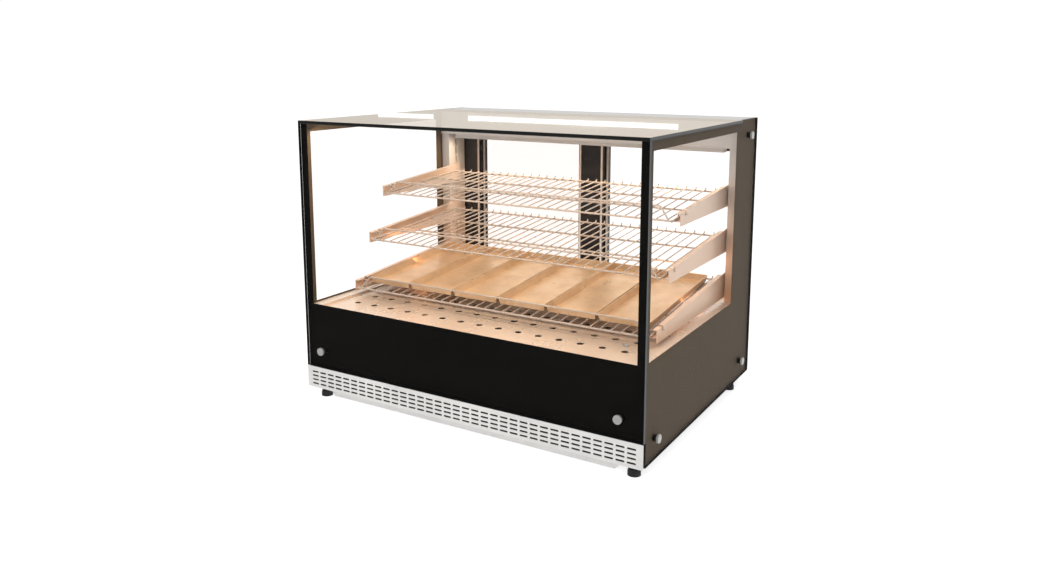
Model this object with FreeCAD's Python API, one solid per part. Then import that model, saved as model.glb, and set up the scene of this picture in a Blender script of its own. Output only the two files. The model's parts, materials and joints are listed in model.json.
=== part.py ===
import FreeCAD, Part
import math
import os

# Countertop hot food display case, in millimetres.
# +Z is up, +X is to the right seen from the customer's side, +Y points to the staff side.
# The origin is the middle of the footprint, on the counter that the feet stand on.

Vector = FreeCAD.Vector

# ---- driving dimensions -------------------------------------------------------------------

WIDTH = 900.0                # over the side glasses
DEPTH = 672.0                # front glass to rear edge of the side glasses
BODY_HEIGHT = 660.0          # underside of the grille to the top glass
FOOT_HEIGHT = 25.0           # counter to the underside of the body

FRONT_GLASS = 8.0            # glass thicknesses
SIDE_GLASS = 6.0
TOP_GLASS = 6.0
PRINT = 0.4                  # black enamel layer behind the glass
JOINT = 3.0                  # silicone between front and side glass
TOP_JOINT = 1.5              # silicone under the top glass
SHEET = 1.5                  # sheet metal of the chassis

GRILLE_HEIGHT = 56.0         # heights are above the underside of the body
DECK_HEIGHT = 205.0
SILL_HEIGHT = 214.0          # lower edge of every window
HEADER_HEIGHT = 590.0        # underside of the rear header
SIDE_TOP_BORDER = 28.0       # printed borders around the windows
SIDE_FRONT_BORDER = 33.0
FRONT_BORDER = 20.0
SIDE_WINDOW_END = 532.0      # distances behind the front glass
HEADER_START = 556.0
POST_START = 560.0
POST_END = 636.0
POST_INNER = 418.0           # inner face of each post, from the middle
WALL_INNER = 442.5           # outer face of the chassis walls, from the middle

CAP_RADIUS = 9.5             # steel caps that hold the glass
COLLAR_RADIUS = 8.5
FRONT_CAP_REACH = 11.0
SIDE_CAP_REACH = 8.0
STUD_RADIUS = 4.0
FRONT_CAPS = [(-397.0, 101.0), (397.0, 101.0)]             # x, height
SIDE_CAPS = [(65.0, 47.0), (606.0, 47.0), (614.0, 620.0)]  # distance from the front, height

SHELF_TILT = 4.6             # degrees, rising towards the staff side
ARM_X = 413.0                # inner face of each arm's plate, from the middle
ARM_SHEET = 2.0
ARM_NOSE = 28.0              # height of an arm at its front end
ARM_END = 606.0
NOTCH = (24.0, 33.0, 10.0)   # start and end behind the arm's nose, and depth
WIRE_REAR = 553.0
SHELVES = {                  # distance from the front, height of the arm's lower edge
    "top": (258.0, 447.0),
    "middle": (200.0, 333.0),
    "bottom": (142.0, 218.0),
}
ROD = 2.5                    # radii of a shelf's side rods, cross rods and wires
CROSS_ROD = 2.2
WIRE = 1.5
WIRE_PITCH = 25.0
WIRE_TIP = 5.0               # upturned rear ends of the wires
SHELF_HALF = 398.0           # side rods of a shelf, from the middle
RAIL_LIFT = 26.0             # front rail above the shelf wires
RAIL_RADIUS = 2.0
PLANE_DROP = 13.0            # shelf wires below the arm's upper edge
ROD_DROP = CROSS_ROD + WIRE - 0.4  # frame rods below the wires that are welded on them
REST_GAP = 0.35              # a shelf's rods above the ledges of its arms

DOOR_LENGTH = 480.0
DOOR_THICKNESS = 12.0
DOOR_STILE = 74.0
DOOR_RAIL = 24.0             # lower rail; the upper one hides in the track
DOOR_TOP_RAIL = 8.0
DOOR_GROOVE = 5.0            # depth of the groove around the pane
DOOR_GLASS = 5.0
TRACK_START = 638.0
TRACK_RIB = 1.6
TRACK_GROOVE = 14.0
TRACK_DEPTH = 15.0

TRAY_COUNT = 6
TRAY_PITCH = 130.0
TRAY_WIDTH = 124.0
TRAY_LENGTH = 352.0
TRAY_RIM = 15.0
TRAY_SHEET = 0.8

HOLE_PITCH_X = 52.0          # deck perforation
HOLE_PITCH_Y = 66.0
HOLE_RADIUS = 8.0
MARGIN_LIFT = 5.0            # raised margin along each side of the deck
SLOT_COUNT = 35              # grille slots
SLOT_PITCH = 25.0
SLOT_ROWS = [13.0, 23.0, 33.0, 43.0]

# ---- planes worked out from them ----------------------------------------------------------

HALF = WIDTH / 2
FRONT = -DEPTH / 2
BACK = DEPTH / 2
BASE = FOOT_HEIGHT
TOP = BASE + BODY_HEIGHT
DECK = BASE + DECK_HEIGHT
SILL = BASE + SILL_HEIGHT
HEADER = BASE + HEADER_HEIGHT
GRILLE_TOP = BASE + GRILLE_HEIGHT
GLASS_TOP = TOP - TOP_GLASS - TOP_JOINT
SIDE_START = FRONT + FRONT_GLASS + PRINT + JOINT
FLOOR = BASE + 3.0
PANEL = BACK - 1.0           # outer face of the rear panel
RISE = math.tan(math.radians(SHELF_TILT))
UP = Vector(0, 0, 1)
MIRROR_X = Vector(1, 0, 0)
ORIGIN = Vector(0, 0, 0)

# Sheet, fixings and machine parts.
THIN = 1.2  # sheet of the deck, posts, front grille and fan guard
GLASS_BORE = 7.0
STUD_PLAY = 0.2
STUD_DEPTH = 18.0
GRILLE_SLOT = (20, 4)
GRILLE_LIP = 13.5
SKID = 388.0  # half-length of the rail under the front grille
PAD_RADII = (14, 12.5)
PAD_HEIGHT = 14
FOOT_HEX = 9
DECK_FLAT = 414.0  # half-width of the flat of the deck
HEATER_END = FRONT + 520
CAN_RADIUS = 34.0
CAN_LENGTH = 58
MOTOR_FLANGE = 44.0
MOTOR_POCKET = 48.0
SHAFT_RADIUS = 4.0
SHAFT_BORE = 8.0
WHEEL_RADIUS = 62.0
HUB_RADIUS = 14.0
GUARD_RADIUS = 76.0
GUARD_STEP = 9
GUARD_LEG = 72
LED_HALF = 400.0
TRAY_FLARE = 3.0
LOUVRE = (110, 5)
LOUVRE_PITCH = 14


# ---- helpers ------------------------------------------------------------------------------

def box(x, y, z):
    """A box from three (low, high) pairs."""
    corner = Vector(x[0], y[0], z[0])
    return Part.makeBox(x[1] - x[0], y[1] - y[0], z[1] - z[0], corner)


def disc(radius, start, direction, length):
    return Part.makeCylinder(radius, length, Vector(*start), Vector(*direction))


def tube(outer, inner, start, direction, length):
    return disc(outer, start, direction, length).cut(disc(inner, start, direction, length))


def mirrored(shape):
    """The same shape on the other side of the middle plane."""
    return shape.mirror(ORIGIN, MIRROR_X)


def fused(shapes):
    if len(shapes) == 1:
        return shapes[0]
    return shapes[0].multiFuse(shapes[1:]).removeSplitter()


def group(shapes):
    """Separate solids that share one node."""
    return Part.makeCompound(shapes)


def pick(plane, a, b, level):
    """A point from two coordinates in a plane and the level of that plane."""
    return {"xy": Vector(a, b, level), "xz": Vector(a, level, b), "yz": Vector(level, a, b)}[plane]


def rectangle(plane, a, b, level):
    corners = [(a[0], b[0]), (a[1], b[0]), (a[1], b[1]), (a[0], b[1])]
    return Part.makePolygon([pick(plane, p, q, level) for p, q in corners + corners[:1]])


def circle(plane, a, b, radius, level):
    normal = {"xy": Vector(0, 0, 1), "xz": Vector(0, 1, 0), "yz": Vector(1, 0, 0)}[plane]
    return Part.Wire(Part.makeCircle(radius, pick(plane, a, b, level), normal))


def obround(plane, a, b, length, width, level):
    """A slot with round ends that runs along the first coordinate."""
    reach = (length - width) / 2
    side = width / 2
    right_low = pick(plane, a + reach, b - side, level)
    right_mid = pick(plane, a + reach + side, b, level)
    right_top = pick(plane, a + reach, b + side, level)
    left_low = pick(plane, a - reach, b - side, level)
    left_mid = pick(plane, a - reach - side, b, level)
    left_top = pick(plane, a - reach, b + side, level)
    return Part.Wire([
        Part.makeLine(left_low, right_low),
        Part.Arc(right_low, right_mid, right_top).toShape(),
        Part.makeLine(right_top, left_top),
        Part.Arc(left_top, left_mid, left_low).toShape(),
    ])


def plate(outline, holes, sweep):
    """A flat sheet with holes, pushed along a vector."""
    face = Part.makeFace([outline] + holes, "Part::FaceMakerBullseye")
    return face.extrude(Vector(*sweep))


def prism(plane, points, level, sweep):
    corners = [pick(plane, p, q, level) for p, q in points]
    return Part.Face(Part.makePolygon(corners + corners[:1])).extrude(Vector(*sweep))


def bent_rod(points, radius, bend):
    """A round rod along straight runs joined by arcs of one bend radius."""
    stops = [Vector(*point) for point in points]
    edges = []
    start = stops[0]
    for before, corner, after in zip(stops, stops[1:], stops[2:]):
        toward = (before - corner).normalize()
        onward = (after - corner).normalize()
        half_angle = math.acos(max(-1.0, min(1.0, toward.dot(onward)))) / 2
        setback = bend / math.tan(half_angle)
        middle = (toward + onward).normalize()
        centre = corner + middle * (bend / math.sin(half_angle))
        arc_in = corner + toward * setback
        arc_out = corner + onward * setback
        edges.append(Part.makeLine(start, arc_in))
        edges.append(Part.Arc(arc_in, centre - middle * bend, arc_out).toShape())
        start = arc_out
    edges.append(Part.makeLine(start, stops[-1]))
    profile = Part.Face(Part.Wire(Part.makeCircle(radius, stops[0], stops[1] - stops[0])))
    return Part.Wire(edges).makePipe(profile)


# ---- glass, its black print and its silicone ------------------------------------------------

def front_glass():
    outline = rectangle("xz", (-HALF, HALF), (GRILLE_TOP + 1, GLASS_TOP), FRONT)
    holes = [circle("xz", x, BASE + h, GLASS_BORE, FRONT) for x, h in FRONT_CAPS]
    return plate(outline, holes, (0, FRONT_GLASS, 0))


def front_print():
    """Black sill and two side borders on the back of the front glass."""
    back = FRONT + FRONT_GLASS
    edge = HALF - 0.5
    clear = HALF - FRONT_BORDER
    low = GRILLE_TOP + 1
    points = [(-edge, low), (edge, low), (edge, GLASS_TOP), (clear, GLASS_TOP), (clear, SILL),
              (-clear, SILL), (-clear, GLASS_TOP), (-edge, GLASS_TOP)]
    sheet = prism("xz", points, back, (0, PRINT, 0))
    for x, h in FRONT_CAPS:
        sheet = sheet.cut(disc(GLASS_BORE, (x, back - 1, BASE + h), (0, 1, 0), 3))
    return sheet


def side_outline(level):
    """Side glass outline: lower under the top glass, full height beside the rear cover."""
    step = FRONT + HEADER_START + 0.5
    points = [(SIDE_START, FLOOR), (BACK, FLOOR), (BACK, TOP), (step, TOP), (step, GLASS_TOP),
              (SIDE_START, GLASS_TOP)]
    corners = [pick("yz", y, z, level) for y, z in points]
    return Part.makePolygon(corners + corners[:1])


def side_glass():
    outline = side_outline(HALF - SIDE_GLASS)
    holes = [circle("yz", FRONT + y, BASE + h, GLASS_BORE, HALF - SIDE_GLASS) for y, h in SIDE_CAPS]
    return plate(outline, holes, (SIDE_GLASS, 0, 0))


def side_print():
    """Black border around the window of the side glass."""
    level = HALF - SIDE_GLASS - PRINT
    outline = side_outline(level)
    window = rectangle("yz", (FRONT + SIDE_FRONT_BORDER, FRONT + SIDE_WINDOW_END),
                       (SILL, TOP - SIDE_TOP_BORDER), level)
    holes = [circle("yz", FRONT + y, BASE + h, GLASS_BORE, level) for y, h in SIDE_CAPS]
    return plate(outline, [window] + holes, (PRINT, 0, 0))


def top_glass():
    return box((-HALF, HALF), (FRONT, FRONT + HEADER_START - 1), (TOP - TOP_GLASS, TOP))


def glass_joints():
    """Silicone lines: two corners, and three edges under the top glass."""
    low = TOP - TOP_GLASS - TOP_JOINT
    corner = box((HALF - SIDE_GLASS, HALF), (SIDE_START - JOINT, SIDE_START),
                 (GRILLE_TOP + 1, GLASS_TOP))
    front = box((-HALF, HALF), (FRONT, FRONT + FRONT_GLASS), (low, TOP - TOP_GLASS))
    side = box((HALF - SIDE_GLASS, HALF), (FRONT + FRONT_GLASS, FRONT + HEADER_START - 1),
               (low, TOP - TOP_GLASS))
    return group([corner, mirrored(corner), fused([front, side, mirrored(side)])])


# ---- base -----------------------------------------------------------------------------------

FOOT_PLACES = {
    "front_left": (-HALF + 32, FRONT + 31),
    "front_right": (HALF - 32, FRONT + 31),
    "rear_left": (-HALF + 22, FRONT + 588),
    "rear_right": (HALF - 22, FRONT + 588),
}
FOOT_STEM = 4.0
FOOT_CLEARANCE = 0.06


def chassis():
    """Folded sheet tub: floor, two sides and a front wall above the grille."""
    inner = WALL_INNER - SHEET
    back = PANEL - SHEET - 0.5
    wall_front = FRONT + 14
    top = DECK - 1.5
    shell = box((-WALL_INNER, WALL_INNER), (wall_front, back), (FLOOR, top))
    space = box((-inner, inner), (wall_front + SHEET, back + 1), (FLOOR + SHEET, top + 1))
    mouth = box((-inner, inner), (wall_front - 1, wall_front + SHEET + 1), (FLOOR + SHEET, GRILLE_TOP))
    tub = shell.cut(space).cut(mouth)
    nuts = [disc(9.0, (x, y, FLOOR + SHEET), (0, 0, 1), 10) for x, y in FOOT_PLACES.values()]
    tub = fused([tub] + nuts)
    for x, y in FOOT_PLACES.values():
        tub = tub.cut(disc(FOOT_STEM + FOOT_CLEARANCE, (x, y, FLOOR - 1), (0, 0, 1), 20))
    for x, h in FRONT_CAPS:
        tub = tub.cut(disc(STUD_RADIUS + STUD_PLAY, (x, wall_front - 1, BASE + h), (0, 1, 0), 4))
    for y, h in SIDE_CAPS[:2]:
        for side in (-1, 1):
            start = (side * (inner - 1), FRONT + y, BASE + h)
            tub = tub.cut(disc(STUD_RADIUS + STUD_PLAY, start, (side, 0, 0), 4))
    return tub


def vent_grille():
    """Slotted stainless strip with a flange along its upper and lower edges."""
    low = BASE + 3
    outline = rectangle("xz", (-HALF, HALF), (low, GRILLE_TOP), FRONT)
    first = -SLOT_PITCH * (SLOT_COUNT - 1) / 2
    slots = []
    for row in SLOT_ROWS:
        for column in range(SLOT_COUNT):
            slots.append(obround("xz", first + column * SLOT_PITCH, BASE + row, *GRILLE_SLOT, FRONT))
    face = plate(outline, slots, (0, THIN, 0))
    upper = box((-WALL_INNER, WALL_INNER), (FRONT, FRONT + GRILLE_LIP), (GRILLE_TOP - THIN, GRILLE_TOP))
    lower = box((-WALL_INNER, WALL_INNER), (FRONT, FRONT + GRILLE_LIP), (low, low + THIN))
    return fused([face, upper, lower])


def lower_lip():
    """Strip with sloped ends that closes the gap under the grille between the front feet."""
    low = BASE - 18
    points = [(-SKID, FLOOR), (-SKID, low + 8), (8 - SKID, low)]
    points += [(-x, z) for x, z in points[::-1]]
    blade = prism("xz", points, FRONT + 20, (0, SHEET, 0))
    flange = box((-SKID, SKID), (FRONT + 20, FRONT + 42), (FLOOR - SHEET, FLOOR))
    return fused([blade, flange])


def foot(x, y):
    """Levelling foot: rubber-shod pad, hexagon and threaded stem in one turning piece."""
    pad = Part.makeCone(*PAD_RADII, PAD_HEIGHT, Vector(x, y, 0), UP)
    corners = [(x + FOOT_HEX * math.cos(math.radians(a)), y + FOOT_HEX * math.sin(math.radians(a)))
               for a in range(0, 360, 60)]
    hexagon = prism("xy", corners, PAD_HEIGHT, (0, 0, 7))
    stem = disc(FOOT_STEM, (x, y, 20), (0, 0, 1), 30)
    return fused([pad, hexagon, stem])


AIR_BOX = ((-425.0, 425.0), (FRONT + 30, FRONT + 545), (BASE + 125, DECK - 1.5))
FAN_PLACE = (0.0, FRONT + 300.0)


HEATER_Z = BASE + 155.0
HEATER_RADIUS = 4.0
HEATER_RUNS = [140.0, 205.0, 270.0, 335.0]


def heater_combs(floor):
    """Four notched strips that carry the heaters above the bottom of the air box."""
    combs = []
    for y in (FRONT + 150, FRONT + 400):
        comb = box((120, 355), (y, y + 1.5), (floor - 0.2, HEATER_Z + 8))
        for x in HEATER_RUNS:
            comb = comb.cut(disc(HEATER_RADIUS + 0.05, (x, y - 1, HEATER_Z), (0, 1, 0), 4))
        combs.append(comb)
        combs.append(mirrored(comb))
    return combs


def air_box():
    """Open-topped hot air box under the deck, with the combs for the heaters."""
    (x0, x1), (y0, y1), (z0, z1) = AIR_BOX
    wall = THIN
    space = box((x0 + wall, x1 - wall), (y0 + wall, y1 - wall), (z0 + wall, z1 + 1))
    tray = box((x0, x1), (y0, y1), (z0, z1)).cut(space)
    tray = tray.cut(disc(SHAFT_BORE, (*FAN_PLACE, z0 - 1), (0, 0, 1), 4))
    return fused([tray] + heater_combs(z0 + wall))


def insulation():
    """Mineral wool slab under the hot air box, open around the fan motor."""
    (x0, x1), (y0, y1), (z0, _) = AIR_BOX
    slab = box((x0 + 5, x1 - 5), (y0 + 5, y1 - 5), (z0 - 20, z0))
    return slab.cut(disc(MOTOR_POCKET, (*FAN_PLACE, z0 - 21), (0, 0, 1), 22))


def deck():
    """Perforated stainless floor of the food space, with raised side margins."""
    flat = DECK_FLAT
    low = DECK - THIN
    first = -HOLE_PITCH_X * 7
    holes = []
    for row in range(7):
        for column in range(15):
            y = FRONT + 94 + row * HOLE_PITCH_Y
            holes.append(circle("xy", first + column * HOLE_PITCH_X, y, HOLE_RADIUS, low))
    outline = rectangle("xy", (-WALL_INNER, WALL_INNER), (FRONT + 9.5, BACK - 3), low)
    sheet = plate(outline, holes, (0, 0, THIN))
    run = (FRONT + 12, FRONT + POST_END)
    riser = box((flat - THIN, flat), run, (low, DECK + MARGIN_LIFT))
    margin = box((flat - THIN, WALL_INNER), run, (DECK + MARGIN_LIFT - THIN, DECK + MARGIN_LIFT))
    outer = box((WALL_INNER - THIN, WALL_INNER), run, (low, DECK + MARGIN_LIFT))
    rim = fused([riser, margin, outer])
    return fused([sheet, rim, mirrored(rim)])


def heater_elements():
    """Two tubular heaters, one each side of the fan, with their ends at the rear."""
    near = FRONT + 80
    far = FRONT + 470
    points = []
    for number, x in enumerate(HEATER_RUNS):
        ends = (far, near) if number % 2 == 0 else (near, far)
        points.append((x, ends[0], HEATER_Z))
        points.append((x, ends[1], HEATER_Z))
    points[0] = (HEATER_RUNS[0], HEATER_END, HEATER_Z)
    points[-1] = (HEATER_RUNS[-1], HEATER_END, HEATER_Z)
    element = bent_rod(points, HEATER_RADIUS, 28)
    return group([element, mirrored(element)])


FAN_FLOOR = AIR_BOX[2][0]


def fan_motor():
    """Motor hung under the air box, with its shaft through the bottom."""
    x, y = FAN_PLACE
    can = disc(CAN_RADIUS, (x, y, FAN_FLOOR - 4 - CAN_LENGTH), (0, 0, 1), CAN_LENGTH)
    flange = disc(MOTOR_FLANGE, (x, y, FAN_FLOOR - 4), (0, 0, 1), 4)
    shaft = disc(SHAFT_RADIUS, (x, y, FAN_FLOOR - 5), (0, 0, 1), 47)
    return fused([can, flange, shaft])


def fan_impeller():
    """Centrifugal wheel: a back plate, a hub and curved blades."""
    x, y = FAN_PLACE
    low = FAN_FLOOR + 14
    wheel = disc(WHEEL_RADIUS, (x, y, low), (0, 0, 1), 1.5)
    hub = disc(HUB_RADIUS, (x, y, low), (0, 0, 1), 24)
    blades = []
    for number in range(12):
        blade = tube(44.0, 42.8, (x + 36, y + 30, low + 1), (0, 0, 1), 27)
        blade = blade.common(tube(61.5, 30.0, (x, y, low), (0, 0, 1), 30))
        blade = blade.common(box((x, x + 70), (y - 40, y + 20), (low, low + 30)))
        blade.rotate(Vector(x, y, 0), UP, number * 30)
        blades.append(blade)
    solid = fused([wheel, hub] + blades)
    return solid.cut(disc(SHAFT_RADIUS + 0.03, (x, y, low - 1), (0, 0, 1), 30))


def fan_guard():
    """Slotted cover over the wheel on three legs."""
    x, y = FAN_PLACE
    low = FAN_FLOOR + 48
    ring = [circle("xy", x, y, 24 + GUARD_STEP * n, low) for n in range(5)]
    rings = [Part.makeFace([ring[n + 1], ring[n]], "Part::FaceMakerBullseye").extrude(Vector(0, 0, THIN))
             for n in (0, 2)]
    rim = tube(GUARD_RADIUS, GUARD_RADIUS - 8, (x, y, low), (0, 0, 1), THIN)
    bars = [box((x - 74, x + 74), (y - 3, y + 3), (low, low + THIN))]
    bars.append(bars[0].copy())
    bars[1].rotate(Vector(x, y, 0), UP, 90)
    legs = []
    for angle in (45, 165, 285):
        leg_x = x + GUARD_LEG * math.cos(math.radians(angle))
        leg_y = y + GUARD_LEG * math.sin(math.radians(angle))
        legs.append(disc(3.0, (leg_x, leg_y, FAN_FLOOR + 1.2), (0, 0, 1), low - FAN_FLOOR - 1))
    return fused(rings + [rim] + bars + legs)


# ---- steel caps that hold the glass -----------------------------------------------------------

def cap_sites():
    """Each cap's centre on the glass, its outward direction and its reach."""
    sites = [((x, FRONT, BASE + h), (0, -1, 0), FRONT_CAP_REACH) for x, h in FRONT_CAPS]
    for side in (-1, 1):
        for y, h in SIDE_CAPS:
            sites.append(((side * HALF, FRONT + y, BASE + h), (side, 0, 0), SIDE_CAP_REACH))
    return sites


CAP_HEAD = 5.0


def along(start, direction, distance):
    return tuple(s + d * distance for s, d in zip(start, direction))


def stud_caps():
    """Turned steel caps with a domed edge and a stud that passes through the glass."""
    caps = []
    for start, outward, reach in cap_sites():
        head_start = along(start, outward, reach - CAP_HEAD)
        head = disc(CAP_RADIUS, head_start, outward, CAP_HEAD)
        rim = [edge for edge in head.Edges
               if abs(edge.CenterOfMass.sub(Vector(*start)).Length - reach) < 0.01]
        head = head.makeFillet(1.2, rim)
        stud = disc(STUD_RADIUS, along(start, outward, -STUD_DEPTH), outward, STUD_DEPTH + reach - CAP_HEAD)
        caps.append(fused([head, stud]))
    return group(caps)


def stud_collars():
    """Black spacer under each cap."""
    rings = []
    for start, outward, reach in cap_sites():
        rings.append(tube(COLLAR_RADIUS, STUD_RADIUS + 0.1, start, outward, reach - CAP_HEAD))
    return group(rings)


# ---- rear frame -------------------------------------------------------------------------------

PEG = 2.4                    # pegs that hang an arm in its post
PEG_PLACE = 593.5


def peg_heights(name):
    return [arm_top(name, PEG_PLACE) - 16, arm_top(name, PEG_PLACE) - 32]


def post():
    """Right-hand shelf post: a folded box with a column of slots in its inner face."""
    y0 = FRONT + POST_START
    y1 = FRONT + POST_END
    low = DECK + MARGIN_LIFT
    slots = []
    for number in range(14):
        slots.append(rectangle("yz", (y0 + 31, y0 + 36), (low + 20 + number * 25, low + 36 + number * 25),
                               POST_INNER))
    inner = plate(rectangle("yz", (y0, y1), (low, HEADER), POST_INNER), slots, (THIN, 0, 0))
    for name in SHELVES:
        for z in peg_heights(name):
            inner = inner.cut(disc(PEG + 0.1, (POST_INNER - 1, FRONT + PEG_PLACE, z), (1, 0, 0), 4))
    front = box((POST_INNER, WALL_INNER), (y0, y0 + THIN), (low, HEADER))
    outer = box((WALL_INNER - THIN, WALL_INNER), (y0, y1), (low, HEADER))
    return fused([inner, front, outer])


def rear_header():
    """Light grey metal cover across the top of the staff side."""
    y0 = FRONT + HEADER_START
    cover = box((-WALL_INNER, WALL_INNER), (y0, BACK), (TOP - SHEET, TOP))
    front = box((-WALL_INNER, WALL_INNER), (y0, y0 + SHEET), (HEADER, TOP))
    bottom = box((-WALL_INNER, WALL_INNER), (y0, FRONT + TRACK_START + 34), (HEADER, HEADER + SHEET))
    back = box((-WALL_INNER, WALL_INNER), (BACK - SHEET, BACK), (HEADER, TOP))
    ends = []
    for side in (-1, 1):
        x = sorted((side * (WALL_INNER - SHEET), side * WALL_INNER))
        ends.append(box(x, (y0, BACK), (HEADER, TOP)))
    header = fused([cover, front, bottom, back] + ends)
    y, h = SIDE_CAPS[2]
    for side in (-1, 1):
        start = (side * (WALL_INNER - SHEET - 1), FRONT + y, BASE + h)
        header = header.cut(disc(STUD_RADIUS + STUD_PLAY, start, (side, 0, 0), 4))
    return header


def track(floor, height, groove_up):
    """Three-ribbed rail for the two doors."""
    y0 = FRONT + TRACK_START
    step = TRACK_RIB + TRACK_GROOVE
    x = (-WALL_INNER, WALL_INNER)
    web = (floor, floor + SHEET) if groove_up else (floor + height - SHEET, floor + height)
    pieces = [box(x, (y0, y0 + 2 * step + TRACK_RIB), web)]
    for number in range(3):
        rib = (y0 + number * step, y0 + number * step + TRACK_RIB)
        pieces.append(box(x, rib, (floor, floor + height)))
    return fused(pieces)


LED_Y = FRONT + POST_START + 8


def led_housing():
    """Aluminium channel under the front edge of the header."""
    body = box((-LED_HALF, LED_HALF), (LED_Y, LED_Y + 24), (HEADER - 12, HEADER))
    slot = box((2 - LED_HALF, LED_HALF - 2), (LED_Y + 2, LED_Y + 22), (HEADER - 13, HEADER - 4))
    return body.cut(slot)


def led_lens():
    return box((2.5 - LED_HALF, LED_HALF - 2.5), (LED_Y + 2.3, LED_Y + 21.7), (HEADER - 11.5, HEADER - 8.5))


# ---- shelf arms and wire shelves ---------------------------------------------------------------

def arm_top(name, y):
    """Height of the arm's upper edge at a distance behind the front glass."""
    start, low = SHELVES[name]
    return BASE + low + ARM_NOSE + (y - start) * RISE


def shelf_arm(name):
    """Right-hand arm: plate with a level lower edge, sloping lip, ledge and a notch for the shelf."""
    start, low = SHELVES[name]
    z_low = BASE + low
    notch = (start + NOTCH[0], start + NOTCH[1])
    outline = [(FRONT + start, z_low), (FRONT + ARM_END, z_low), (FRONT + ARM_END, arm_top(name, ARM_END)),
               (FRONT + notch[1], arm_top(name, notch[1])),
               (FRONT + notch[1], arm_top(name, notch[1]) - NOTCH[2]),
               (FRONT + notch[0], arm_top(name, notch[1]) - NOTCH[2]),
               (FRONT + notch[0], arm_top(name, notch[0])), (FRONT + start, arm_top(name, start))]
    web = prism("yz", outline, ARM_X, (ARM_SHEET, 0, 0))
    pieces = [web]
    for y0, y1 in ((start, notch[0]), (notch[1], POST_START - 12)):
        lip = [(FRONT + y0, arm_top(name, y0)), (FRONT + y1, arm_top(name, y1)),
               (FRONT + y1, arm_top(name, y1) - 1.5), (FRONT + y0, arm_top(name, y0) - 1.5)]
        pieces.append(prism("yz", lip, ARM_X - 9, (10, 0, 0)))
    drop = PLANE_DROP + ROD_DROP + ROD + REST_GAP
    ledge = [(FRONT + y, arm_top(name, y) - drop - thick) for y, thick in
             ((start + 6, 0), (POST_START - 12, 0), (POST_START - 12, 1.5), (start + 6, 1.5))]
    pieces.append(prism("yz", ledge, ARM_X - 20, (21, 0, 0)))
    for z in peg_heights(name):
        pieces.append(disc(PEG, (ARM_X + 1, FRONT + PEG_PLACE, z), (1, 0, 0), POST_INNER - ARM_X + 2))
    return fused(pieces)


def shelf_height(name, y):
    """Height of the centres of the shelf wires at a distance behind the front glass."""
    return arm_top(name, y) - PLANE_DROP


def wire_shelf(name):
    """Rod frame with close wires from front to back, upturned rear ends and a raised front rail."""
    front = SHELVES[name][0] - 6

    def level(y, lift=0.0):
        return shelf_height(name, y) + lift

    pieces = []
    for side in (-1, 1):
        start = Vector(side * SHELF_HALF, FRONT + front - 4, level(front - 4, -ROD_DROP))
        end = Vector(side * SHELF_HALF, FRONT + WIRE_REAR + 4, level(WIRE_REAR + 4, -ROD_DROP))
        pieces.append(Part.makeCylinder(ROD, (end - start).Length, start, end - start))
    for number in range(4):
        y = front + (WIRE_REAR - front) * number / 3
        start = (-SHELF_HALF, FRONT + y, level(y, -ROD_DROP))
        pieces.append(disc(CROSS_ROD, start, (1, 0, 0), 2 * SHELF_HALF))
    count = int(2 * (SHELF_HALF - 10) / WIRE_PITCH)
    for number in range(count + 1):
        x = (number - count / 2) * WIRE_PITCH
        path = [(x, FRONT + front - 1, level(front - 1)), (x, FRONT + WIRE_REAR + 3, level(WIRE_REAR + 3)),
                (x, FRONT + WIRE_REAR + 3, level(WIRE_REAR + 3, WIRE_TIP))]
        pieces.append(bent_rod(path, WIRE, 3))
    rail_y = front + 8
    foot_x = SHELF_HALF - 8
    rail = [(-foot_x, FRONT + front, level(front, -ROD_DROP)),
            (-foot_x + 24, FRONT + rail_y, level(rail_y, RAIL_LIFT)),
            (foot_x - 24, FRONT + rail_y, level(rail_y, RAIL_LIFT)),
            (foot_x, FRONT + front, level(front, -ROD_DROP))]
    pieces.append(bent_rod(rail, RAIL_RADIUS, 6))
    hook_y = SHELVES[name][0] + (NOTCH[0] + NOTCH[1]) / 2
    hook_z = level(hook_y, PLANE_DROP - NOTCH[2] + 3.0)
    for side in (-1, 1):
        hook = [(side * SHELF_HALF, FRONT + hook_y, level(hook_y, -ROD_DROP)),
                (side * SHELF_HALF, FRONT + hook_y, hook_z),
                (side * (ARM_X + 6), FRONT + hook_y, hook_z)]
        pieces.append(bent_rod(hook, RAIL_RADIUS, 4))
    return fused(pieces)


def tray(number):
    """Shallow pan with sloping rims that lies on the bottom shelf."""
    x_mid = (number - (TRAY_COUNT + 1) / 2) * TRAY_PITCH
    start = SHELVES["bottom"][0] + 28
    half = TRAY_WIDTH / 2
    flare = TRAY_FLARE

    def shell(inset, low):
        bottom = [(x_mid - half + flare + inset, flare + inset),
                  (x_mid + half - flare - inset, flare + inset),
                  (x_mid + half - flare - inset, TRAY_LENGTH - flare - inset),
                  (x_mid - half + flare + inset, TRAY_LENGTH - flare - inset)]
        rim = [(x_mid - half + inset, inset), (x_mid + half - inset, inset),
               (x_mid + half - inset, TRAY_LENGTH - inset), (x_mid - half + inset, TRAY_LENGTH - inset)]
        wires = []
        for corners, z in ((bottom, low), (rim, TRAY_RIM)):
            points = [Vector(x, y, z) for x, y in corners]
            wires.append(Part.makePolygon(points + points[:1]))
        return Part.makeLoft(wires, True, True)

    pan = shell(0.0, 0.0).cut(shell(TRAY_SHEET, TRAY_SHEET))
    pan.rotate(ORIGIN, Vector(1, 0, 0), SHELF_TILT)
    pan.translate(Vector(0, FRONT + start, shelf_height("bottom", start) + WIRE + 0.1))
    return pan


# ---- sliding doors -----------------------------------------------------------------------------

DOOR_LOW = DECK + SHEET + 0.5
DOOR_TOP = HEADER - 9.0
DOORS = {                    # left end at rest, track number
    "left": (-441.0, 0),
    "right": (-431.0, 1),
}


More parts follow.
